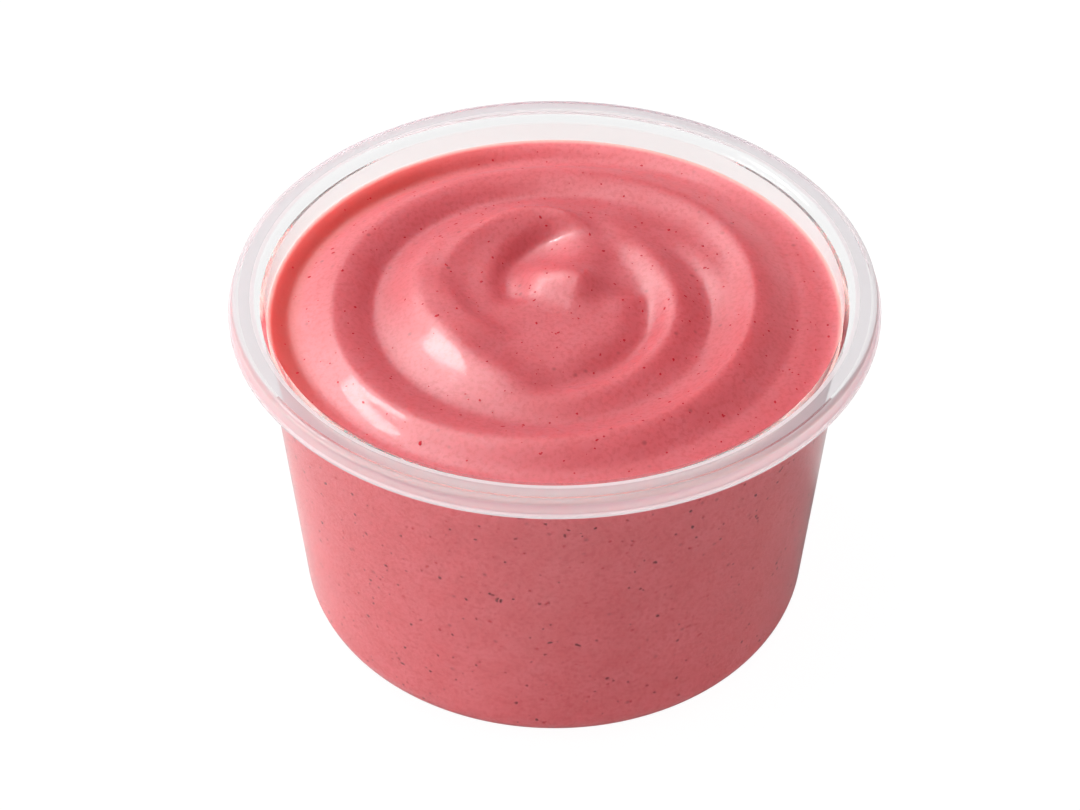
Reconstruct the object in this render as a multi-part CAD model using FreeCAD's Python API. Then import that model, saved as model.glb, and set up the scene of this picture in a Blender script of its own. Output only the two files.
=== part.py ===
import FreeCAD, Part
import math
import os

# Sauce cup: a thin-walled round portion cup with a hanging rim skirt,
# filled with a thick sauce whose top is stirred into a swirl.
# Millimetres, +Z up, origin at the centre of the flat foot.

V = FreeCAD.Vector

# ---------------------------------------------------------------- the cup
CUP_H = 43.9            # foot to the flat top of the rim
BASE_D = 59.26          # outside of the wall carried down to the foot
DRAFT = 0.0883          # wall radius gained per mm of height
RIM_OUT = 3.494         # how far the skirt's lower edge stands outside the wall
WALL = 0.55             # wall thickness, also of the foot
BASE_CORNER_R = 4.7     # outside rounding between foot and wall
FLANGE_T = 0.62         # thickness of the flat rim
MOUTH_R = 1.15          # rounding from the wall's inside on to the rim
UNDER_R = 0.7           # rounding under the rim, wall to flange
FLANGE_IN = 1.05        # the flat of the rim ends this far inside that edge
RIM_CORNER_R = 0.6      # rounding at the outside of the rim
SKIRT_DROP = 1.95       # rim top to the skirt's lower edge
SKIRT_T = 0.5           # skirt thickness
BEAD_H = 0.42           # thickened lip along the skirt's lower edge
BEAD_OUT = 0.16         # how far that lip stands proud of the skirt

# -------------------------------------------------------------- the sauce
FILL_DROP = 3.4         # rim top down to the sauce where it meets the wall
CREEP = 0.35            # climb of the sauce up the wall
CREEP_W = 0.9           # width of that climb
DOME_UP = 1.4           # mean rise of the sauce from wall to middle
DOME_P = 2.6            # how flat the middle of that rise is
CENTRE_R = 5.0          # arms fade out from here to the middle
GRID_STEP = 1.1         # spacing of the net the swirl surface runs through

# Rings and spiral arms of the swirl.  Each row is one ridge (height > 0)
# or furrow (height < 0), given at equal steps of angle round the cup:
# start and step in degrees, whether it closes on itself, how peaked it is,
# how many steps it takes to fade in and out at its ends, then radius,
# height, inner half-width and outer half-width at every station.
ARMS = [
    ("outer ridge", 0, 30, True, 1.7, 0,
     [22.8, 24.0, 24.9, 25.0, 25.3, 25.3, 24.7, 23.9, 23.8, 24.1, 23.9, 22.9],
     [1.7, 1.2, 0.9, 0.8, 0.8, 0.7, 0.7, 0.8, 1.1, 1.4, 1.6, 1.8],
     [2.0, 2.3, 2.8, 2.8, 2.3, 1.8, 1.8, 2.0, 2.2, 2.1, 1.8, 1.8],
     [3.2, 3.1, 2.9, 2.5, 2.4, 2.3, 2.0, 2.0, 2.5, 3.2, 3.4, 3.4]),
    ("main furrow", 0, 30, True, 1.8, 0,
     [19.3, 19.8, 20.4, 20.8, 21.5, 21.3, 20.6, 20.6, 20.5, 20.2, 19.2, 18.8],
     [-0.1, 0.0, -0.2, -0.8, -1.2, -1.4, -1.4, -1.1, -0.8, -0.8, -0.8, -0.5],
     [2.9, 2.9, 2.9, 3.0, 3.1, 3.1, 3.1, 3.1, 3.0, 3.0, 2.9, 2.9],
     [1.6, 1.7, 1.8, 1.7, 1.6, 1.5, 1.6, 1.7, 1.9, 2.0, 2.0, 1.7]),
    ("second ridge", 0, 30, True, 1.8, 0,
     [13.7, 13.7, 15.4, 17.7, 18.5, 17.8, 16.8, 16.9, 17.1, 16.5, 15.0, 13.9],
     [1.1, 1.0, 0.7, 0.5, 0.3, 0.4, 0.6, 0.6, 0.6, 0.6, 0.8, 1.0],
     [3.2, 3.2, 2.8, 2.2, 1.9, 1.9, 1.9, 1.9, 2.2, 2.4, 2.6, 3.0],
     [2.3, 2.3, 2.6, 2.7, 2.7, 2.7, 2.7, 2.7, 2.7, 2.6, 2.4, 2.3]),
    ("furrow by the wall", 0, 30, True, 1.8, 0,
     [27.5, 28.6, 29.6, 29.4, 29.6, 30.1, 30.3, 29.8, 29.1, 28.4, 27.7, 27.4],
     [-0.4, -0.4, -0.8, -1.2, -1.2, -0.9, -0.6, -0.4, -0.3, -0.3, -0.3, -0.4],
     [1.7, 1.8, 2.1, 2.4, 2.3, 2.0, 1.9, 1.9, 1.8, 1.7, 1.6, 1.6],
     [1.2, 1.5, 1.9, 1.9, 1.8, 1.6, 1.6, 1.6, 1.7, 1.6, 1.4, 1.2]),
    ("tail of the furrow", 318, 20, False, 1.8, 1.3,
     [18.2, 17.9, 17.7, 17.2, 16.2, 14.8, 13.8],
     [-0.3, -0.7, -1.0, -0.8, -0.5, -0.3, -0.2],
     [2.4, 2.4, 2.4, 2.3, 2.0, 1.9, 1.7],
     [1.1, 1.1, 1.3, 1.6, 1.8, 1.8, 1.8]),
    ("inner furrow", 242, 24, False, 1.8, 1.2,
     [15.3, 14.4, 13.1, 12.0, 11.3, 10.6, 10.2, 10.9, 12.2],
     [-0.4, -0.9, -1.4, -1.7, -1.7, -1.2, -0.7, -0.6, -0.3],
     [2.4, 2.4, 2.4, 2.2, 2.0, 2.6, 4.0, 4.0, 3.2],
     [2.0, 2.1, 2.2, 2.2, 2.1, 2.2, 2.8, 2.8, 2.6]),
    ("crest round the hollow", 62, 22, False, 1.5, 1.2,
     [12.8, 14.8, 15.9, 15.3, 14.4, 13.4, 12.8],
     [0.8, 1.6, 1.8, 1.2, 0.7, 0.4, 0.2],
     [2.4, 2.6, 2.6, 2.4, 2.4, 2.4, 2.2],
     [1.6, 1.7, 1.8, 2.2, 2.8, 2.8, 2.6]),
    ("crescent hollow", 58, 20, False, 2.2, 1.9,
     [11.0, 11.8, 11.3, 9.4, 7.2, 5.7, 5.0, 4.8],
     [-0.3, -0.9, -1.5, -1.7, -1.5, -1.2, -0.8, -0.4],
     [5.0, 5.0, 4.6, 3.9, 3.2, 2.6, 2.2, 2.0],
     [1.8] * 8),
    ("side shoulder", 150, 24, False, 1.8, 1.4,
     [13.2, 12.2, 10.8, 9.4, 8.2],
     [0.5, 0.9, 1.0, 0.8, 0.3],
     [1.7] * 5,
     [3.0] * 5),
]

# Single mounds in the middle: x, y, height, half-length ahead and behind,
# half-width to the left and right, direction of the length in degrees,
# peakedness.
MOUNDS = [
    (2.8, 2.6, 2.0, 2.4, 6.5, 2.6, 3.0, -22, 2.0),
    (3.6, 9.2, 0.5, 5.0, 5.4, 4.0, 4.0, -45, 2.0),
    (8.4, 0.4, 0.4, 2.0, 2.0, 0.8, 1.6, 15, 2.0),
]

# -------------------------------------------------------- derived lengths
BASE_R = BASE_D / 2
LEAN = math.atan(DRAFT)
WALL_ACROSS = WALL / math.cos(LEAN)     # wall thickness measured level
FILL_Z = CUP_H - FILL_DROP


def wall_out(z):
    """Outside radius of the wall at height z."""
    return BASE_R + DRAFT * z


def wall_in(z):
    """Inside radius of the wall at height z."""
    return wall_out(z) - WALL_ACROSS


RIM_R = wall_out(CUP_H) + RIM_OUT       # over the skirt's lower edge: 37 mm
MOUTH_INNER_R = wall_in(FILL_Z)         # radius at which the sauce ends


# ------------------------------------------------------- outline helpers
def rounded(points):
    """Closed outline in the XZ plane; each point is (r, z, rounding)."""
    n = len(points)
    starts, ends, arcs = [], [], []
    for i in range(n):
        r, z, rad = points[i]
        p = V(r, 0, z)
        if rad <= 0:
            starts.append(p)
            ends.append(p)
            arcs.append(None)
            continue
        pr, pz, _ = points[i - 1]
        nr, nz, _ = points[(i + 1) % n]
        a = V(pr, 0, pz).sub(p)
        b = V(nr, 0, nz).sub(p)
        a.normalize()
        b.normalize()
        half = a.getAngle(b) / 2
        back = rad / math.tan(half)
        p1 = p + a * back
        p2 = p + b * back
        m = a + b
        m.normalize()
        mid = p + m * (rad / math.sin(half) - rad)
        starts.append(p1)
        ends.append(p2)
        arcs.append(Part.Arc(p1, mid, p2).toShape())
    edges = []
    for i in range(n):
        if arcs[i] is not None:
            edges.append(arcs[i])
        q1 = ends[i]
        q2 = starts[(i + 1) % n]
        if q1.distanceToPoint(q2) > 1e-6:
            edges.append(Part.LineSegment(q1, q2).toShape())
    return Part.Wire(edges)


def turned(points):
    """Solid of revolution about Z from a rounded outline."""
    face = Part.Face(rounded(points))
    return face.revolve(V(0, 0, 0), V(0, 0, 1), 360)


# ------------------------------------------------------------------- cup
def make_cup():
    """Foot, tapered wall, flat rim and the skirt hanging from it."""
    z_under = CUP_H - FLANGE_T
    z_skirt = CUP_H - SKIRT_DROP
    flange_r = RIM_R - FLANGE_IN + RIM_CORNER_R
    skirt_out = RIM_R - BEAD_OUT
    skirt_in = skirt_out - SKIRT_T
    flange_in = flange_r - SKIRT_T
    z_bead = z_skirt + BEAD_H
    inner_corner = BASE_CORNER_R - WALL
    outline = [
        (0, 0, 0),
        (BASE_R, 0, BASE_CORNER_R),
        (wall_out(z_under), z_under, UNDER_R),
        (flange_in, z_under, RIM_CORNER_R * 0.4),
        (skirt_in, z_skirt, 0.12),
        (RIM_R, z_skirt, 0.15),
        (RIM_R, z_bead, 0.12),
        (skirt_out - 0.08, z_bead + 0.12, 0.1),
        (flange_r, CUP_H, RIM_CORNER_R),
        (wall_in(CUP_H), CUP_H, MOUTH_R),
        (wall_in(WALL), WALL, inner_corner),
        (0, WALL, 0),
    ]
    return turned(outline)


# ----------------------------------------------------------------- swirl
def along(values, t, closed):
    """Smooth value between equally spaced stations at position t."""
    n = len(values)
    i = int(math.floor(t))
    f = t - i
    picked = []
    for k in (-1, 0, 1, 2):
        j = (i + k) % n if closed else min(max(i + k, 0), n - 1)
        picked.append(values[j])
    p0, p1, p2, p3 = picked
    m1 = (p2 - p0) / 2
    m2 = (p3 - p1) / 2
    f2 = f * f
    f3 = f2 * f
    h = (2 * f3 - 3 * f2 + 1) * p1 + (f3 - 2 * f2 + f) * m1
    return h + (3 * f2 - 2 * f3) * p2 + (f3 - f2) * m2


def ease(u):
    """Smooth step from 0 to 1."""
    u = min(max(u, 0.0), 1.0)
    return u * u * (3 - 2 * u)


def arm_height(arm, r, deg):
    """Height added by one ridge or furrow at (r, deg)."""
    start, step, closed, peak, fade = arm[1:6]
    radii, heights, inner, outer = arm[6:10]
    n = len(radii)
    t = ((deg - start) % 360.0) / step
    if closed:
        t = t % n
        fading = 1.0
    else:
        if t > n - 1:
            return 0.0
        fading = ease(t / fade) * ease((n - 1 - t) / fade)
    d = r - along(radii, t, closed)
    w = along(inner if d < 0 else outer, t, closed)
    fading = fading * ease(r / CENTRE_R)
    u = abs(d) / max(w, 0.3)
    return along(heights, t, closed) * fading * math.exp(-(u ** peak))


def mound_height(m, x, y):
    """Height added by one mound at (x, y)."""
    cx, cy, up, ahead, behind, left, right, turn, peak = m
    c = math.cos(math.radians(turn))
    s = math.sin(math.radians(turn))
    u = (x - cx) * c + (y - cy) * s
    v = (y - cy) * c - (x - cx) * s
    u = u / (ahead if u > 0 else behind)
    v = v / (left if v > 0 else right)
    return up * math.exp(-((u * u + v * v) ** (peak / 2)))


def swirl_height(x, y):
    """Height of the sauce above its line on the wall at (x, y)."""
    scale = MOUTH_INNER_R / 32.655
    x = x / scale
    y = y / scale
    r = math.hypot(x, y)
    deg = math.degrees(math.atan2(y, x)) % 360.0
    edge = MOUTH_INNER_R / scale
    h = DOME_UP * (1 - min(r / edge, 1.0) ** DOME_P)
    for arm in ARMS:
        h += arm_height(arm, r, deg)
    for m in MOUNDS:
        h += mound_height(m, x, y)
    settle = ease((edge - r) / 2.5)     # everything dies out at the wall
    creep = CREEP * math.exp(-(max(edge - r, 0.0) / CREEP_W) ** 1.5)
    return h * settle + creep - CREEP


def make_swirl_tool():
    """Block whose underside is the swirl surface."""
    half = MOUTH_INNER_R + 3.0
    n = int(math.ceil(2 * half / GRID_STEP))
    step = 2 * half / n
    net = []
    for i in range(n + 1):
        x = -half + i * step
        row = []
        for j in range(n + 1):
            y = -half + j * step
            row.append(V(x, y, FILL_Z + swirl_height(x, y)))
        net.append(row)
    surface = Part.BSplineSurface()
    surface.interpolate(net)
    return surface.toShape().extrude(V(0, 0, 14.0))


def make_sauce():
    """Filling that follows the inside of the cup, swirl on top."""
    top = FILL_Z + 6.0
    outline = [
        (0, WALL, 0),
        (wall_in(WALL), WALL, BASE_CORNER_R - WALL),
        (wall_in(top), top, 0),
        (0, top, 0),
    ]
    body = turned(outline)
    cut = body.cut(make_swirl_tool())
    solids = sorted(cut.Solids, key=lambda s: s.BoundBox.ZMin)
    return solids[0]


def main():
    os.makedirs("parts", exist_ok=True)
    pieces = {
        "cup": make_cup(),
        "sauce": make_sauce(),
    }
    for name, shape in pieces.items():
        if shape.ShapeType != "Solid":
            shape = shape.Solids[0]
        shape.exportStep("parts/" + name + ".step")


main()
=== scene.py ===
import math

import bpy
import numpy as np
from mathutils import Euler, Matrix, Vector


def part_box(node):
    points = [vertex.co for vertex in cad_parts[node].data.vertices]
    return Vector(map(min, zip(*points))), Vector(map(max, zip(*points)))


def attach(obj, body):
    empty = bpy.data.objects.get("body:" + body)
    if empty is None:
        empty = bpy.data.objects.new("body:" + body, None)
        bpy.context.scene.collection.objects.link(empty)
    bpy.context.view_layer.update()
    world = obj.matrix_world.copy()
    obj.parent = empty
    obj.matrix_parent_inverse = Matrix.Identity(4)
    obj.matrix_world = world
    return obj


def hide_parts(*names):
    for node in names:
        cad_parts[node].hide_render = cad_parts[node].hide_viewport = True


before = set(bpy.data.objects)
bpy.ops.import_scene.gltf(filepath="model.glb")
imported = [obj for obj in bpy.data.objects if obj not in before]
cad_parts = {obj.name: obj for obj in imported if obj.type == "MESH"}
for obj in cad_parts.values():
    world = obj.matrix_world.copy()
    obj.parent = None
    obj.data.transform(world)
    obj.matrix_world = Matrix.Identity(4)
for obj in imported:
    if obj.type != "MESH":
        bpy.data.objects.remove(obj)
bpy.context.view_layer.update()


CUP_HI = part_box("cup")[1]
MM = 0.001
CUP_H = CUP_HI[2] / MM          # height of the cup, mm
RIM_R = CUP_HI[0] / MM          # rim radius, mm

# ------------------------------------------------ profile of the cup, mm
BASE_R = 29.63
DRAFT = 0.0883
WALL = 0.55
BASE_CORNER_R = 4.7
FLANGE_T = 0.62
MOUTH_R = 1.15
UNDER_R = 0.7
FLANGE_EDGE_R = 35.95
RIM_CORNER_R = 0.6
SKIRT_DROP = 2.1
SKIRT_T = 0.5
BEAD_H = 0.42
BEAD_OUT = 0.16
WALL_ACROSS = WALL * math.sqrt(1 + DRAFT * DRAFT)
FILL_DROP = 3.4
CREEP = 0.35
CREEP_W = 0.9
SETTLE_W = 2.5          # the swirl settles over this width at the wall, mm


def wall_out(z):
    """Outer radius of the wall at a height, mm."""
    return BASE_R + DRAFT * z


def wall_in(z):
    """Inner radius of the wall at a height, mm."""
    return wall_out(z) - WALL_ACROSS


FILL_Z = CUP_H - FILL_DROP
EDGE_R = wall_in(FILL_Z)

# ------------------------------------------------------- the sauce's top
DOME_UP = 1.4
DOME_P = 2.6
CENTRE_R = 5.0
# name, first angle, step, closed ring, peakedness, fade in stations;
# then per station the radius, height, inner and outer half-width; degrees, mm
ARMS = [
    ("outer ridge", 0, 30, True, 1.7, 0,
     [22.8, 24.0, 24.9, 25.0, 25.3, 25.4, 25.3, 25.4, 25.1, 24.4, 23.9, 22.9],
     [1.7, 1.2, 0.9, 0.8, 0.8, 0.7, 0.76, 0.74, 0.82, 1.3, 1.6, 1.8],
     [2.0, 2.3, 2.8, 2.8, 2.3, 1.9, 2.1, 2.6, 2.6, 2.2, 1.8, 1.8],
     [3.2, 3.1, 2.9, 2.5, 2.4, 2.2, 1.8, 1.7, 2.2, 3.2, 3.4, 3.4]),
    ("main furrow", 0, 30, True, 1.8, 0,
     [19.3, 19.8, 20.4, 20.8, 21.5, 21.3, 20.6, 20.6, 20.5, 20.2, 19.2, 18.8],
     [-0.1, 0.0, -0.2, -0.8, -1.2, -1.4, -1.4, -1.1, -0.8, -0.8, -0.8, -0.5],
     [2.9, 2.9, 2.9, 3.0, 3.1, 3.1, 3.1, 3.1, 3.0, 3.0, 2.9, 2.9],
     [1.6, 1.7, 1.8, 1.7, 1.6, 1.5, 1.6, 1.7, 1.9, 2.0, 2.0, 1.7]),
    ("second ridge", 0, 30, True, 1.8, 0,
     [13.7, 13.7, 15.4, 17.7, 18.5, 17.4, 15.5, 13.7, 13.9, 15.6, 15.0, 13.9],
     [1.1, 1.0, 0.7, 0.5, 0.3, 0.45, 0.78, 0.97, 0.80, 0.6, 0.8, 1.0],
     [3.2, 3.2, 2.8, 2.2, 1.9, 2.0, 2.4, 2.6, 2.6, 2.4, 2.6, 3.0],
     [2.3, 2.3, 2.6, 2.7, 2.7, 2.7, 2.6, 2.5, 2.6, 2.8, 2.4, 2.3]),
    ("furrow by the wall", 0, 30, True, 1.8, 0,
     [27.5, 28.6, 29.6, 29.4, 29.6, 30.1, 30.3, 29.8, 29.1, 28.4, 27.7, 27.4],
     [-0.4, -0.4, -0.8, -1.2, -1.2, -0.9, -0.6, -0.4, -0.3, -0.3, -0.3, -0.4],
     [1.7, 1.8, 2.1, 2.4, 2.3, 2.0, 1.9, 1.9, 1.8, 1.7, 1.6, 1.6],
     [1.2, 1.5, 1.9, 1.9, 1.8, 1.6, 1.6, 1.6, 1.7, 1.6, 1.4, 1.2]),
    ("tail of the furrow", 318, 20, False, 1.8, 1.3,
     [18.2, 17.9, 17.7, 17.2, 16.2, 14.8, 13.8],
     [-0.3, -0.7, -1.0, -0.8, -0.5, -0.3, -0.2],
     [2.4, 2.4, 2.4, 2.3, 2.0, 1.9, 1.7],
     [1.1, 1.1, 1.3, 1.6, 1.8, 1.8, 1.8]),
    ("inner furrow", 242, 24, False, 1.8, 1.2,
     [15.3, 14.4, 13.1, 12.0, 11.3, 10.6, 10.2, 10.9, 12.2],
     [-0.4, -0.9, -1.4, -1.7, -1.7, -1.2, -0.7, -0.6, -0.3],
     [2.4, 2.4, 2.4, 2.2, 2.0, 2.6, 4.0, 4.0, 3.2],
     [2.0, 2.1, 2.2, 2.2, 2.1, 2.2, 2.8, 2.8, 2.6]),
    ("crest round the hollow", 62, 22, False, 1.5, 1.2,
     [12.8, 14.8, 15.9, 15.3, 14.4, 13.4, 12.8],
     [0.8, 1.6, 1.8, 1.2, 0.7, 0.4, 0.2],
     [2.4, 2.6, 2.6, 2.4, 2.4, 2.4, 2.2],
     [1.6, 1.7, 1.8, 2.2, 2.8, 2.8, 2.6]),
    ("crescent hollow", 58, 20, False, 2.2, 1.9,
     [11.0, 11.8, 11.3, 9.4, 7.2, 5.7, 5.0, 4.8],
     [-0.3, -0.8, -1.4, -1.7, -1.5, -1.2, -0.8, -0.4],
     [6.0, 6.0, 5.0, 3.9, 3.2, 2.6, 2.2, 2.0],
     [1.8] * 8),
    ("side shoulder", 150, 24, False, 1.8, 1.4,
     [13.2, 12.2, 10.8, 9.4, 8.2],
     [0.5, 0.9, 1.0, 0.8, 0.3],
     [1.7] * 5,
     [3.0] * 5),
]
# x, y, height, half-length ahead, behind, half-width left, right, turn, peak
MOUNDS = [
    (2.8, 2.6, 1.9, 2.4, 7.5, 3.2, 3.0, -22, 2.0),
    (3.6, 9.2, 0.5, 5.0, 5.4, 4.0, 4.0, -45, 2.0),
    (8.4, 0.4, 0.4, 2.0, 2.0, 0.8, 1.6, 15, 2.0),
]


def along(values, t, closed):
    """Catmull-Rom value between equally spaced stations, for arrays of t."""
    v = np.asarray(values, float)
    n = len(v)
    i = np.floor(t).astype(int)
    f = t - i
    pick = []
    for k in (-1, 0, 1, 2):
        j = (i + k) % n if closed else np.clip(i + k, 0, n - 1)
        pick.append(v[j])
    p0, p1, p2, p3 = pick
    m1 = (p2 - p0) / 2
    m2 = (p3 - p1) / 2
    f2 = f * f
    f3 = f2 * f
    h = (2 * f3 - 3 * f2 + 1) * p1 + (f3 - 2 * f2 + f) * m1
    return h + (3 * f2 - 2 * f3) * p2 + (f3 - f2) * m2


def ease(u):
    """0 to 1 with level ends."""
    u = np.clip(u, 0.0, 1.0)
    return u * u * (3 - 2 * u)


def arm_height(arm, r, deg):
    """Height of one ring or arm at polar places, mm."""
    start, step, closed, peak, fade = arm[1:6]
    radii, heights, inner, outer = arm[6:10]
    n = len(radii)
    t = ((deg - start) % 360.0) / step
    if closed:
        t = t % n
        fading = 1.0
    else:
        inside = t <= n - 1
        t = np.where(inside, t, 0.0)
        fading = ease(t / fade) * ease((n - 1 - t) / fade) * inside
    d = r - along(radii, t, closed)
    w = np.where(d < 0, along(inner, t, closed), along(outer, t, closed))
    u = np.abs(d) / np.maximum(w, 0.3) + 1e-9
    fading = fading * ease(r / CENTRE_R)
    return along(heights, t, closed) * fading * np.exp(-(u ** peak))


def mound_height(m, x, y):
    """Height of one uneven mound, mm."""
    cx, cy, up, ahead, behind, left, right, turn, peak = m
    c = math.cos(math.radians(turn))
    s = math.sin(math.radians(turn))
    u = (x - cx) * c + (y - cy) * s
    v = (y - cy) * c - (x - cx) * s
    u = u / np.where(u > 0, ahead, behind)
    v = v / np.where(v > 0, left, right)
    return up * np.exp(-((u * u + v * v + 1e-9) ** (peak / 2)))


def swirl_height(x, y):
    """Height of the sauce above its line on the wall, mm, for arrays."""
    r = np.hypot(x, y)
    deg = np.degrees(np.arctan2(y, x)) % 360.0
    h = DOME_UP * (1 - np.minimum(r / EDGE_R, 1.0) ** DOME_P)
    for arm in ARMS:
        h = h + arm_height(arm, r, deg)
    for m in MOUNDS:
        h = h + mound_height(m, x, y)
    settle = ease((EDGE_R - r) / SETTLE_W)
    creep = CREEP * np.exp(-(np.maximum(EDGE_R - r, 0.0) / CREEP_W) ** 1.5)
    return h * settle + creep - CREEP


# ----------------------------------------------------------- mesh helpers
def make_mesh(name, verts, faces, smooth=True):
    """Linked mesh object from corners in metres."""
    mesh = bpy.data.meshes.new(name)
    mesh.from_pydata([tuple(v) for v in verts], [], faces)
    mesh.validate()
    if smooth:
        mesh.polygons.foreach_set("use_smooth", [True] * len(mesh.polygons))
    mesh.update()
    ob = bpy.data.objects.new(name, mesh)
    bpy.context.scene.collection.objects.link(ob)
    return ob


def rounded(points, step=0.14):
    """Open outline of (r, z, rounding) corners as a fine polyline."""
    out = []
    n = len(points)
    for i, (r, z, rad) in enumerate(points):
        p = np.array([r, z], float)
        if rad <= 0 or i in (0, n - 1):
            out.append(p)
            continue
        a = np.array(points[i - 1][:2], float) - p
        b = np.array(points[i + 1][:2], float) - p
        a = a / np.linalg.norm(a)
        b = b / np.linalg.norm(b)
        half = math.acos(max(-1.0, min(1.0, float(a @ b)))) / 2
        back = rad / math.tan(half)
        m = (a + b) / np.linalg.norm(a + b)
        centre = p + m * rad / math.sin(half)
        start = p + a * back - centre
        end = p + b * back - centre
        from_angle = math.atan2(start[1], start[0])
        to_angle = math.atan2(end[1], end[0])
        sweep = (to_angle - from_angle + math.pi) % (2 * math.pi) - math.pi
        k = max(4, int(abs(sweep) * rad / step))
        for j in range(k + 1):
            t = from_angle + sweep * j / k
            out.append(centre + rad * np.array([math.cos(t), math.sin(t)]))
    return out


def revolve(name, outline, segments):
    """Closed surface of revolution; the outline starts and ends on the axis."""
    inner = outline[1:-1]
    verts = [(0, 0, outline[0][1])]
    ang = [2 * math.pi * k / segments for k in range(segments)]
    for r, z in inner:
        verts += [(r * math.cos(t), r * math.sin(t), z) for t in ang]
    verts.append((0, 0, outline[-1][1]))
    last = len(verts) - 1
    faces = []
    for k in range(segments):
        k2 = (k + 1) % segments
        faces.append((0, 1 + k2, 1 + k))
        for i in range(len(inner) - 1):
            a = 1 + i * segments
            b = a + segments
            faces.append((a + k, a + k2, b + k2, b + k))
        a = 1 + (len(inner) - 1) * segments
        faces.append((a + k, a + k2, last))
    verts = [(x * MM, y * MM, z * MM) for x, y, z in verts]
    return make_mesh(name, verts, faces)


# -------------------------------------------------------------- the cup
CUP_SEGMENTS = 256
SKIRT_INNER_SHARE = 0.4     # skirt's inner corner, share of RIM_CORNER_R
LIP_INNER_R = 0.12          # roundings and slope of the skirt's lip, mm
LIP_OUTER_R = 0.15
LIP_TOP_R = 0.12
LIP_NECK_R = 0.1
LIP_SLOPE_IN = 0.08
LIP_SLOPE_UP = 0.12


def build_cup():
    """The cup's shell, turned from foot to lip, over the rim and back inside."""
    z_under = CUP_H - FLANGE_T
    z_skirt = CUP_H - SKIRT_DROP
    flange_r = FLANGE_EDGE_R + RIM_CORNER_R
    skirt_out = RIM_R - BEAD_OUT
    skirt_in = skirt_out - SKIRT_T
    z_bead = z_skirt + BEAD_H
    outline = rounded([
        (0, 0, 0),
        (BASE_R, 0, BASE_CORNER_R),
        (wall_out(z_under), z_under, UNDER_R),
        (flange_r - SKIRT_T, z_under, RIM_CORNER_R * SKIRT_INNER_SHARE),
        (skirt_in, z_skirt, LIP_INNER_R),
        (RIM_R, z_skirt, LIP_OUTER_R),
        (RIM_R, z_bead, LIP_TOP_R),
        (skirt_out - LIP_SLOPE_IN, z_bead + LIP_SLOPE_UP, LIP_NECK_R),
        (flange_r, CUP_H, RIM_CORNER_R),
        (FLANGE_EDGE_R - LINE_IN, CUP_H, 0),
        (wall_out(CUP_H) + EDGE_TO, CUP_H, 0),
        (wall_in(CUP_H), CUP_H, MOUTH_R),
        (wall_in(WALL), WALL, BASE_CORNER_R - WALL),
        (0, WALL, 0),
    ])
    return revolve("cup_shell", outline, CUP_SEGMENTS)


# the plastic's looks: name, milkiness of a skin, its colour, light let into
# shadow by a skin, bending
ZONES = [
    ("wall_plastic", 0.14, (0.82, 0.79, 0.79), 0.93, 1.46),
    ("mouth_plastic", 0.045, (0.74, 0.73, 0.73), 0.92, 1.0),
    # real haze made near-white here as a painted highlight on the rim's inner edge
    ("rim_inner_highlight", 0.82, (0.99, 0.96, 0.98), 0.85, 1.3),
    ("rim_flat", 0.56, (0.79, 0.77, 0.81), 0.85, 1.4),
    # painted shade: a darker, greyer line where light bends at the flange's edge
    ("rim_shade_line", 0.26, (0.58, 0.54, 0.58), 0.90, 1.2),
    # real haze, made whiter here as a painted highlight on the rim's round outer corner
    ("rim_corner_highlight", 0.60, (0.86, 0.85, 0.88), 0.85, 1.46),
    ("skirt_plastic", 0.54, (0.92, 0.84, 0.92), 0.85, 1.46),
    ("bead_plastic", 0.55, (0.95, 0.87, 0.89), 0.85, 1.46),
]
ZONE_NAMES = [zone[0] for zone in ZONES]
# where one look gives way to the next, mm
SIDE_REACH = 0.1            # the side's looks end this far outside the wall
FILL_LINE_DOWN = 0.2        # the mouth's look starts this far under FILL_Z
LIP_REACH = 0.1             # the lip's look ends this far above the lip
INNER_SKIN = 0.3            # depth at which the rim's and skirt's inside starts
EDGE_FROM = 0.6             # painted highlight: milky inner edge of the rim, outside the wall
EDGE_TO = 0.98
LINE_IN = 0.2               # painted shade: darker line, inside and outside FLANGE_EDGE_R
LINE_OUT = 0.12
CORNER_DOWN = 0.5           # the rim's outer corner ends this far down


def cup_zone(r, z):
    """Name of the look at a point of the cup's skin, mm."""
    if r < wall_out(CUP_H) + SIDE_REACH:
        return "wall_plastic" if z < FILL_Z - FILL_LINE_DOWN else "mouth_plastic"
    if z < CUP_H - SKIRT_DROP + BEAD_H + LIP_REACH:
        return "bead_plastic"
    skirt_r = FLANGE_EDGE_R + RIM_CORNER_R
    skirt_r += (RIM_R - skirt_r) * (CUP_H - z) / SKIRT_DROP
    hidden = z < CUP_H - INNER_SKIN and r < skirt_r - INNER_SKIN
    if hidden or r < wall_out(CUP_H) + EDGE_FROM:
        return "mouth_plastic"
    if r < wall_out(CUP_H) + EDGE_TO:
        return "rim_inner_highlight"
    if r < FLANGE_EDGE_R - LINE_IN:
        return "rim_flat"
    if z < CUP_H - CORNER_DOWN:
        return "skirt_plastic"
    return "rim_shade_line" if r < FLANGE_EDGE_R + LINE_OUT else "rim_corner_highlight"


# ------------------------------------------------------------ the sauce
INTO_WALL = 0.15            # how far the filling reaches into the wall, mm
EDGE_LIFT = 0.02            # its outermost edge stands this far over FILL_Z, mm
SAUCE_SEGMENTS = 420
SAUCE_RINGS = 127
SIDE_ARC_STEP = 0.35        # least length of a facet in the side's round, mm
SIDE_STEP = 1.0             # and along its straight stretches, mm


def swirl_at(x, y):
    """Swirl height at one point, mm."""
    return float(swirl_height(np.array(x), np.array(y)))


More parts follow.
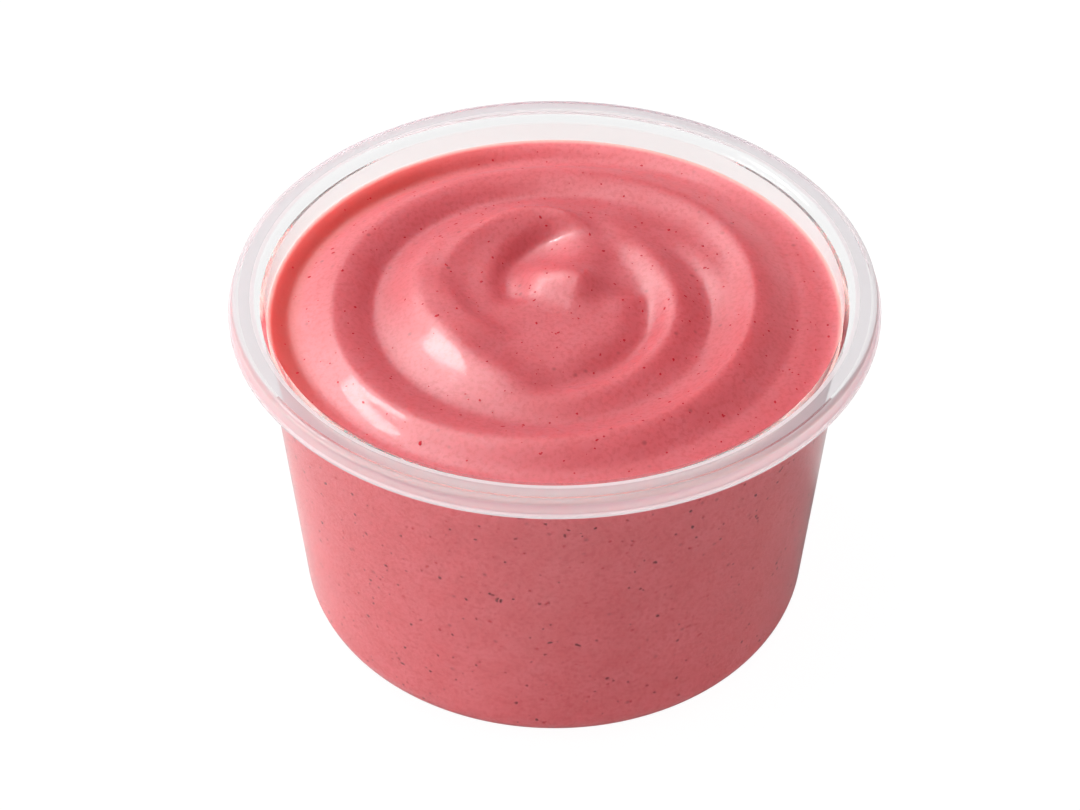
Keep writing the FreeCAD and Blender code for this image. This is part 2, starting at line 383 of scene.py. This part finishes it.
def build_sauce():
    """Rings over the swirl; the side and underside reach just into the wall."""
    seg = SAUCE_SEGMENTS
    ang = np.linspace(0, 2 * math.pi, seg, endpoint=False)
    ca, sa = np.cos(ang), np.sin(ang)
    rings = np.linspace(0, 1, SAUCE_RINGS + 1)[1:] * EDGE_R
    verts = [np.array([[0, 0, FILL_Z + swirl_at(0.0, 0.0)]])]
    for r in rings:
        x, y = r * ca, r * sa
        verts.append(np.stack([x, y, FILL_Z + swirl_height(x, y)], 1))
    side = rounded([
        (wall_in(FILL_Z) + INTO_WALL, FILL_Z + EDGE_LIFT, 0),
        (wall_in(WALL) + INTO_WALL, WALL - INTO_WALL, BASE_CORNER_R - WALL),
        (0, WALL - INTO_WALL, 0),
    ], SIDE_ARC_STEP)
    down = []
    for (r0, z0), (r1, z1) in zip(side[:-1], side[1:]):
        k = max(1, int(math.hypot(r1 - r0, z1 - z0) / SIDE_STEP))
        for j in range(k):
            down.append((r0 + (r1 - r0) * j / k, z0 + (z1 - z0) * j / k))
    for r, z in down:
        verts.append(np.stack([r * ca, r * sa, np.full(seg, z)], 1))
    verts.append(np.array([[0, 0, WALL - INTO_WALL]]))
    v = np.concatenate(verts) * MM
    n_rings = len(rings) + len(down)
    faces = []
    for k in range(seg):
        k2 = (k + 1) % seg
        faces.append((0, 1 + k, 1 + k2))
        for i in range(n_rings - 1):
            a = 1 + i * seg
            b = a + seg
            faces.append((a + k, b + k, b + k2, a + k2))
        a = 1 + (n_rings - 1) * seg
        faces.append((a + k, len(v) - 1, a + k2))
    return make_mesh("sauce_body", v, faces)


# ------------------------------------------------------------ the specks
SPECKS_TOP = 420
SPECKS_SIDE = 1300
SPECK_SEED = 11
TOP_MARGIN = 1.2            # band at the wall without specks on top, mm
SIDE_LOW = 3.0              # lowest speck of the side, mm above the table
SIDE_HIGH = 1.0             # highest speck of the side, mm under FILL_Z
SLOPE_STEP = 0.05           # step for the top's slope, mm
TOP_SIZE = 0.10             # usual half-width of a speck on top, mm
SIDE_SIZE = 0.14            # and at the side, mm
SMALLEST = 0.05
LARGEST = 0.23
SIZE_SPREAD = 0.35
STRETCH = 0.9               # most that a speck is longer than wide, as a share
FLATNESS = 0.45             # thickness of a speck, share of its width
UNEVENNESS = 0.12
SUNK = 0.45                 # how deep it sits, share of its half-thickness


def ball():
    """Unit ball of 80 triangles."""
    g = (1 + 5 ** 0.5) / 2
    v = [(-1, g, 0), (1, g, 0), (-1, -g, 0), (1, -g, 0), (0, -1, g), (0, 1, g),
         (0, -1, -g), (0, 1, -g), (g, 0, -1), (g, 0, 1), (-g, 0, -1), (-g, 0, 1)]
    v = [np.array(p) / np.linalg.norm(p) for p in v]
    f = [(0, 11, 5), (0, 5, 1), (0, 1, 7), (0, 7, 10), (0, 10, 11), (1, 5, 9), (5, 11, 4),
         (11, 10, 2), (10, 7, 6), (7, 1, 8), (3, 9, 4), (3, 4, 2), (3, 2, 6), (3, 6, 8),
         (3, 8, 9), (4, 9, 5), (2, 4, 11), (6, 2, 10), (8, 6, 7), (9, 8, 1)]
    mid = {}
    out = []

    def half(a, b):
        key = (min(a, b), max(a, b))
        if key not in mid:
            p = v[a] + v[b]
            v.append(p / np.linalg.norm(p))
            mid[key] = len(v) - 1
        return mid[key]

    for a, b, c in f:
        ab, bc, ca = half(a, b), half(b, c), half(c, a)
        out += [(a, ab, ca), (b, bc, ab), (c, ca, bc), (ab, bc, ca)]
    return np.array(v), out


def spot_on_top(rng):
    """Random point of the sauce's top, mm, and the way out of it."""
    r = (EDGE_R - TOP_MARGIN) * math.sqrt(rng.random())
    t = rng.random() * 2 * math.pi
    x, y = r * math.cos(t), r * math.sin(t)
    e = SLOPE_STEP
    slope_x = (swirl_at(x + e, y) - swirl_at(x - e, y)) / (2 * e)
    slope_y = (swirl_at(x, y + e) - swirl_at(x, y - e)) / (2 * e)
    spot = np.array([x, y, FILL_Z + swirl_at(x, y)])
    return spot, np.array([-slope_x, -slope_y, 1.0])


def spot_on_side(rng):
    """Random point of the sauce's side, mm, and the way out of it."""
    z = SIDE_LOW + (FILL_Z - (SIDE_LOW + SIDE_HIGH)) * rng.random()
    t = rng.random() * 2 * math.pi
    r = wall_in(z) + INTO_WALL
    spot = np.array([r * math.cos(t), r * math.sin(t), z])
    return spot, np.array([math.cos(t), math.sin(t), -DRAFT])


def speck_corners(rng, unit, spot, way, usual):
    """Corners of one flat, uneven grain set in the surface, mm."""
    n = way / np.linalg.norm(way)
    u = np.cross(n, rng.normal(size=3))
    u = u / np.linalg.norm(u)
    w = np.cross(n, u)
    size = float(rng.lognormal(math.log(usual), SIZE_SPREAD))
    size = min(max(size, SMALLEST), LARGEST)
    longer = 1.0 + STRETCH * rng.random() ** 2
    uneven = 1 + UNEVENNESS * rng.normal(size=(len(unit), 1))
    q = unit * uneven * size
    q = (np.outer(q[:, 0] * longer, u) + np.outer(q[:, 1], w)
         + np.outer(q[:, 2] * FLATNESS, n))
    return q + spot - n * size * FLATNESS * SUNK


def build_specks():
    """Fine specks set in the sauce's top and side, as one joined piece."""
    rng = np.random.default_rng(SPECK_SEED)
    unit, unit_faces = ball()
    verts, faces = [], []
    for i in range(SPECKS_TOP + SPECKS_SIDE):
        on_top = i < SPECKS_TOP
        spot, way = spot_on_top(rng) if on_top else spot_on_side(rng)
        usual = TOP_SIZE if on_top else SIDE_SIZE
        verts.append(speck_corners(rng, unit, spot, way, usual))
        base = i * len(unit)
        faces += [(a + base, b + base, c + base) for a, b, c in unit_faces]
    return make_mesh("specks", np.concatenate(verts) * MM, faces)


# ---------------------------------------------------------- node helpers
def new_material(name):
    """Empty node material, its tree and the socket that takes its surface."""
    mat = bpy.data.materials.new(name)
    mat.use_nodes = True
    tree = mat.node_tree
    tree.nodes.clear()
    out = tree.nodes.new("ShaderNodeOutputMaterial")
    return mat, tree, out.inputs["Surface"]


def feed(tree, socket, value):
    """Link an output to a socket, or set the socket to a plain value."""
    if isinstance(value, bpy.types.NodeSocket):
        tree.links.new(value, socket)
    else:
        socket.default_value = value


def add_node(tree, kind, inputs):
    """New node, with its inputs given by name or number."""
    node = tree.nodes.new("ShaderNode" + kind)
    for key, value in inputs.items():
        feed(tree, node.inputs[key], value)
    return node


def math_node(tree, operation, *inputs):
    """Result of one sum; each input is a number or an output."""
    node = add_node(tree, "Math", dict(enumerate(inputs)))
    node.operation = operation
    return node.outputs[0]


def times(tree, a, b):
    return math_node(tree, "MULTIPLY", a, b)


def map_range(tree, value, f0, f1, t0, t1, smooth=False):
    """Value taken from f0...f1 to t0...t1, and held beyond both ends."""
    node = add_node(tree, "MapRange", {
        "Value": value, "From Min": f0, "From Max": f1, "To Min": t0, "To Max": t1})
    if smooth:
        node.interpolation_type = "SMOOTHSTEP"
    return node.outputs["Result"]


def noise(tree, place, scale, detail=3.0, rough=0.5):
    """Noise with scale features to the metre."""
    node = add_node(tree, "TexNoise", {
        "Vector": place, "Scale": scale, "Detail": detail, "Roughness": rough})
    return node.outputs["Fac"]


def mix_colour(tree, factor, a, b):
    """Colour a at factor 0, colour b at factor 1."""
    node = tree.nodes.new("ShaderNodeMix")
    node.data_type = "RGBA"
    for key, value in (("Factor", factor), ("A", a), ("B", b)):
        feed(tree, node.inputs[key], value)
    return node.outputs["Result"]


def mix_shader(tree, factor, a, b):
    """Shader a at factor 0, shader b at factor 1."""
    return add_node(tree, "MixShader", {0: factor, 1: a, 2: b}).outputs[0]


def bump(tree, strength, distance, height, under=None):
    """Normal of a surface raised by height, distance in metres."""
    inputs = {"Strength": strength, "Distance": distance, "Height": height}
    if under is not None:
        inputs["Normal"] = under
    return add_node(tree, "Bump", inputs).outputs["Normal"]


def object_place(tree):
    """Object coordinates in metres, whole and as x, y and z."""
    place = tree.nodes.new("ShaderNodeTexCoord").outputs["Object"]
    parts = add_node(tree, "SeparateXYZ", {0: place}).outputs
    return place, parts["X"], parts["Y"], parts["Z"]


def top_share(tree, z):
    """1 on the sauce's top, 0 on its side."""
    return map_range(tree, z, (FILL_Z - 2.0) * MM, (FILL_Z - 1.2) * MM, 0.0, 1.0)


# ------------------------------------------------------ looks of the sauce
SAUCE_DARK = (0.765, 0.103, 0.126, 1)
SAUCE_LIGHT = (0.81, 0.143, 0.172, 1)
GRAIN_RED = (0.66, 0.045, 0.062, 1)
BLURRED_RED = (0.42, 0.022, 0.035, 1)
# painted sheen of the light over the sauce's top
TOP_SHEEN_PALE = (0.82, 0.20, 0.235, 1)
TOP_SHEEN_SHARE = 0.12
# painted shade of the rim on the sauce at the left
PAINTED_SHADE_RED = (0.62, 0.052, 0.036, 1)
# painted light shining through the sauce's thin edge at the wall
PAINTED_EDGE_GLOW = (0.92, 0.42, 0.38, 1)
SPECK_DEEP = (0.16, 0.004, 0.010, 1)
SPECK_ON_TOP = (0.62, 0.030, 0.045, 1)
SPECK_PALE = (0.66, 0.050, 0.065, 1)
# noise scales, features to the metre
MOTTLE = 240
GRAIN = 1900
BLURRED_CELLS = 430
BLURRED_WHERE = 330
FINE_BUMP = 1500
WET_BUMP = 480
SPECK_TINT = 700
# fine folds that follow the stirring: noise taken round a circle of this
# radius, and its scale outwards, per metre
FOLDS_ROUND = 2.2
FOLDS_ACROSS = 900.0
FOLDS_CENTRE = 0.002        # least radius that is divided by, m


def sauce_colour(tree, place, x, y, radius, top):
    """Mottled pink, with painted shade redder at the left by the wall, a painted sheen paler over
    the top, and painted light paler at the very edge.
    """
    mottle = map_range(tree, noise(tree, place, MOTTLE), 0.3, 0.7, 0.0, 1.0)
    colour = mix_colour(tree, mottle, SAUCE_DARK, SAUCE_LIGHT)
    grain = map_range(tree, noise(tree, place, GRAIN, 3.0, 0.6), 0.36, 0.54, 0.60, 0.0)
    colour = mix_colour(tree, grain, colour, GRAIN_RED)
    # small blurred specks under the skin
    cells = add_node(tree, "TexVoronoi", {"Vector": place, "Scale": BLURRED_CELLS})
    near = map_range(tree, cells.outputs["Distance"], 0.03, 0.17, 0.8, 0.0, True)
    some = map_range(tree, noise(tree, place, BLURRED_WHERE, 1.0), 0.46, 0.58, 0.0, 1.0)
    colour = mix_colour(tree, times(tree, near, some), colour, BLURRED_RED)
    # painted sheen: the whole top a little paler than the side, for the light's soft shine on it
    colour = mix_colour(tree, times(tree, top, TOP_SHEEN_SHARE), colour, TOP_SHEEN_PALE)
    # painted shade: a warmer, darker band inside the wall on the left only, where the rim's
    # shadow falls
    band = map_range(tree, radius, (EDGE_R - 4.5) * MM, (EDGE_R - 2.0) * MM, 0.0, 1.0, True)
    left = math_node(tree, "ADD", times(tree, x, -0.95), times(tree, y, 0.30))
    left = map_range(tree, left, 0.010, 0.028, 0.0, 0.85, True)
    painted_shade = times(tree, times(tree, band, left), top)
    colour = mix_colour(tree, painted_shade, colour, PAINTED_SHADE_RED)
    # painted light: paler where the sauce thins out against the wall and light shines through it
    edge = map_range(tree, radius, (EDGE_R - 0.6) * MM, EDGE_R * MM, 0.0, 1.0, True)
    return mix_colour(tree, times(tree, edge, top), colour, PAINTED_EDGE_GLOW)


def stirred_folds(tree, x, y, radius):
    """Normal of the fine folds that run round the swirl."""
    far = math_node(tree, "MAXIMUM", radius, FOLDS_CENTRE)
    place = add_node(tree, "CombineXYZ", {
        0: times(tree, math_node(tree, "DIVIDE", x, far), FOLDS_ROUND),
        1: times(tree, math_node(tree, "DIVIDE", y, far), FOLDS_ROUND),
        2: times(tree, radius, FOLDS_ACROSS),
    }).outputs[0]
    return bump(tree, 0.10, 0.0003, noise(tree, place, 1.0, 3.0, 0.6))


def sauce_material():
    """Thick sauce that light soaks into, with a wet skin on its top."""
    mat, tree, surface = new_material("pink_sauce")
    place, x, y, z = object_place(tree)
    radius = math_node(tree, "SQRT", math_node(tree, "ADD", times(tree, x, x), times(tree, y, y)))
    top = top_share(tree, z)
    folds = stirred_folds(tree, x, y, radius)
    # the skin is less wet near the middle
    wetness = map_range(tree, radius, 7.0 * MM, 10.5 * MM, 0.03, 0.17, True)
    skin = add_node(tree, "BsdfPrincipled", {
        "Base Color": sauce_colour(tree, place, x, y, radius, top),
        "Roughness": 0.56,
        "IOR": 1.8,
        "Specular IOR Level": map_range(tree, top, 0.0, 1.0, 0.4, 1.0),
        "Coat Weight": times(tree, top, wetness),
        "Coat Roughness": 0.035,
        "Coat IOR": 1.4,
        "Subsurface Weight": 0.75,
        "Subsurface Radius": (1.0, 0.09, 0.08),
        "Subsurface Scale": 0.0046,
        "Normal": bump(tree, 0.14, 0.0002, noise(tree, place, FINE_BUMP, 4.0), folds),
        "Coat Normal": bump(tree, 0.26, 0.0002, noise(tree, place, WET_BUMP, 4.0, 0.55), folds),
    })
    feed(tree, surface, skin.outputs[0])
    return mat


def speck_material():
    """Dark red, a little different from one speck to the next."""
    mat, tree, surface = new_material("speck_red")
    place, _, _, z = object_place(tree)
    some = map_range(tree, noise(tree, place, SPECK_TINT, 1.0), 0.42, 0.60, 0.0, 1.0)
    deep = mix_colour(tree, top_share(tree, z), SPECK_DEEP, SPECK_ON_TOP)
    grain = add_node(tree, "BsdfPrincipled", {
        "Base Color": mix_colour(tree, some, deep, SPECK_PALE),
        "Roughness": 0.6,
        "Specular IOR Level": 0.15,
    })
    feed(tree, surface, grain.outputs[0])
    return mat


# ---------------------------------------------------- look of the plastic
def clear_skin(tree, bend):
    """Clear plastic that bends light, or lets it straight through at 1."""
    if bend > 1:
        return add_node(tree, "BsdfPrincipled", {
            "Base Color": (0.985, 0.985, 0.98, 1),
            "Roughness": 0.05,
            "IOR": bend,
            "Transmission Weight": 1.0,
        }).outputs[0]
    see = add_node(tree, "BsdfTransparent", {"Color": (0.962, 0.965, 0.966, 1)})
    shine = add_node(tree, "BsdfGlossy", {"Roughness": 0.12})
    return mix_shader(tree, 0.02, see.outputs[0], shine.outputs[0])


def milky_skin(tree, colour):
    """Thin milk: half of the light turns back and half goes through."""
    back = add_node(tree, "BsdfDiffuse", {"Color": colour + (1,)})
    on = add_node(tree, "BsdfTranslucent", {"Color": colour + (1,)})
    return mix_shader(tree, 0.5, back.outputs[0], on.outputs[0])


def plastic_material(name, milkiness, colour, through, bend):
    """Thin plastic; through is the share of light that one skin lets into shadow."""
    mat, tree, surface = new_material(name)
    seen = mix_shader(tree, milkiness, clear_skin(tree, bend), milky_skin(tree, colour))
    clear = add_node(tree, "BsdfTransparent", {"Color": (through, through, through, 1)})
    shadow_ray = tree.nodes.new("ShaderNodeLightPath").outputs["Is Shadow Ray"]
    feed(tree, surface, mix_shader(tree, shadow_ray, seen, clear.outputs[0]))
    return mat


# ------------------------------------------------------- floor and world
FLOOR_HALF = 3.0            # half the floor's side, m
FLOOR_DOWN = 0.0002         # it lies this far under the foot, m
FLOOR_GLOW = 0.97
FLOOR_SHADED = 0.08         # the part of its white that takes shadow
FLOOR_LIT = 0.75            # how white it is as light for the object
WORLD_LIGHT = 0.07


def seen_directly(tree):
    """1 for rays that come from the camera or through the plastic."""
    path = tree.nodes.new("ShaderNodeLightPath").outputs
    return math_node(tree, "MAXIMUM", path["Is Camera Ray"], path["Is Transmission Ray"])


def grey(level):
    return (level, level, level, 1)


def floor_material():
    """White table; only a trace of the cup's shadow shows on it."""
    mat, tree, surface = new_material("white_floor")
    shaded = add_node(tree, "BsdfDiffuse", {"Color": grey(FLOOR_SHADED)})
    glow = add_node(tree, "Emission", {"Strength": FLOOR_GLOW})
    seen = add_node(tree, "AddShader", {0: shaded.outputs[0], 1: glow.outputs[0]})
    lit = add_node(tree, "BsdfDiffuse", {"Color": grey(FLOOR_LIT)})
    feed(tree, surface, mix_shader(tree, seen_directly(tree), lit.outputs[0], seen.outputs[0]))
    return mat


def build_floor():
    s = FLOOR_HALF
    ob = make_mesh("floor", [(-s, -s, 0), (s, -s, 0), (s, s, 0), (-s, s, 0)],
                   [(0, 1, 2, 3)], smooth=False)
    ob.location.z = -FLOOR_DOWN
    ob.data.materials.append(floor_material())
    return ob


def build_world():
    """White where it is seen directly, faint as a light."""
    world = bpy.data.worlds.new("studio")
    bpy.context.scene.world = world
    world.use_nodes = True
    tree = world.node_tree
    tree.nodes.clear()
    strength = map_range(tree, seen_directly(tree), 0, 1, WORLD_LIGHT, 1.0)
    sky = add_node(tree, "Background", {"Color": grey(1.0), "Strength": strength})
    add_node(tree, "OutputWorld", {"Surface": sky.outputs[0]})


# ------------------------------------------------------- lamps and camera
AIM = (0, 0, 0.035)         # the point that the lamps face, m
# name, azimuth, elevation, distance, width, height, power: degrees, m, W
KEY_LAMP = ("key", 144, 51, 0.9, 0.10, 0.26, 4.75)
LEFT_LAMP = ("left", 188, 10, 0.9, 0.5, 0.28, 2.6)
TOP_LAMP = ("top", 250, 84, 1.0, 1.0, 1.0, 5.6)
CAM_AT = (0.0, -0.26696, 0.25458)     # m
CAM_TILT = 49.414           # degrees; 0 looks straight down
CAM_ROLL = 0.071
CAM_TURN = 0.298
CAM_LENS = 100.0            # mm, on a sensor 36 mm wide
CAM_SENSOR = 36.0
CAM_NEAR = 0.01


def area(name, azimuth, elevation, distance, width, height, power):
    """Area lamp aimed at the cup; azimuth counter-clockwise from +X."""
    a, e = math.radians(azimuth), math.radians(elevation)
    way = Vector((math.cos(e) * math.cos(a), math.cos(e) * math.sin(a), math.sin(e)))
    data = bpy.data.lights.new(name, "AREA")
    data.shape = "RECTANGLE"
    data.size = width
    data.size_y = height
    data.energy = power
    ob = bpy.data.objects.new(name, data)
    ob.location = Vector(AIM) + way * distance
    ob.rotation_mode = "QUATERNION"
    ob.rotation_quaternion = way.to_track_quat("Z", "Y")
    bpy.context.scene.collection.objects.link(ob)
    return ob


def build_camera():
    """Camera in front of the cup, looking down at it."""
    data = bpy.data.cameras.new("camera")
    data.lens = CAM_LENS
    data.sensor_width = CAM_SENSOR
    data.clip_start = CAM_NEAR
    ob = bpy.data.objects.new("camera", data)
    turned = Euler([math.radians(v) for v in (CAM_TILT, CAM_ROLL, CAM_TURN)])
    ob.matrix_world = Matrix.Translation(CAM_AT) @ turned.to_matrix().to_4x4()
    bpy.context.scene.collection.objects.link(ob)
    bpy.context.scene.camera = ob


# -------------------------------------------------------------- assemble
cup = build_cup()
for zone in ZONES:
    cup.data.materials.append(plastic_material(*zone))
for poly in cup.data.polygons:
    c = poly.center
    poly.material_index = ZONE_NAMES.index(cup_zone(math.hypot(c.x, c.y) / MM, c.z / MM))
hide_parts("cup")
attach(cup, "root")

sauce = build_sauce()
sauce.data.materials.append(sauce_material())
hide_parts("sauce")
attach(sauce, "root")

specks = build_specks()
specks.data.materials.append(speck_material())
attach(specks, "root")

floor = build_floor()
area(*KEY_LAMP)
area(*LEFT_LAMP)
over = area(*TOP_LAMP)
over.visible_glossy = False
build_world()
build_camera()
bpy.context.scene.view_settings.view_transform = "Standard"
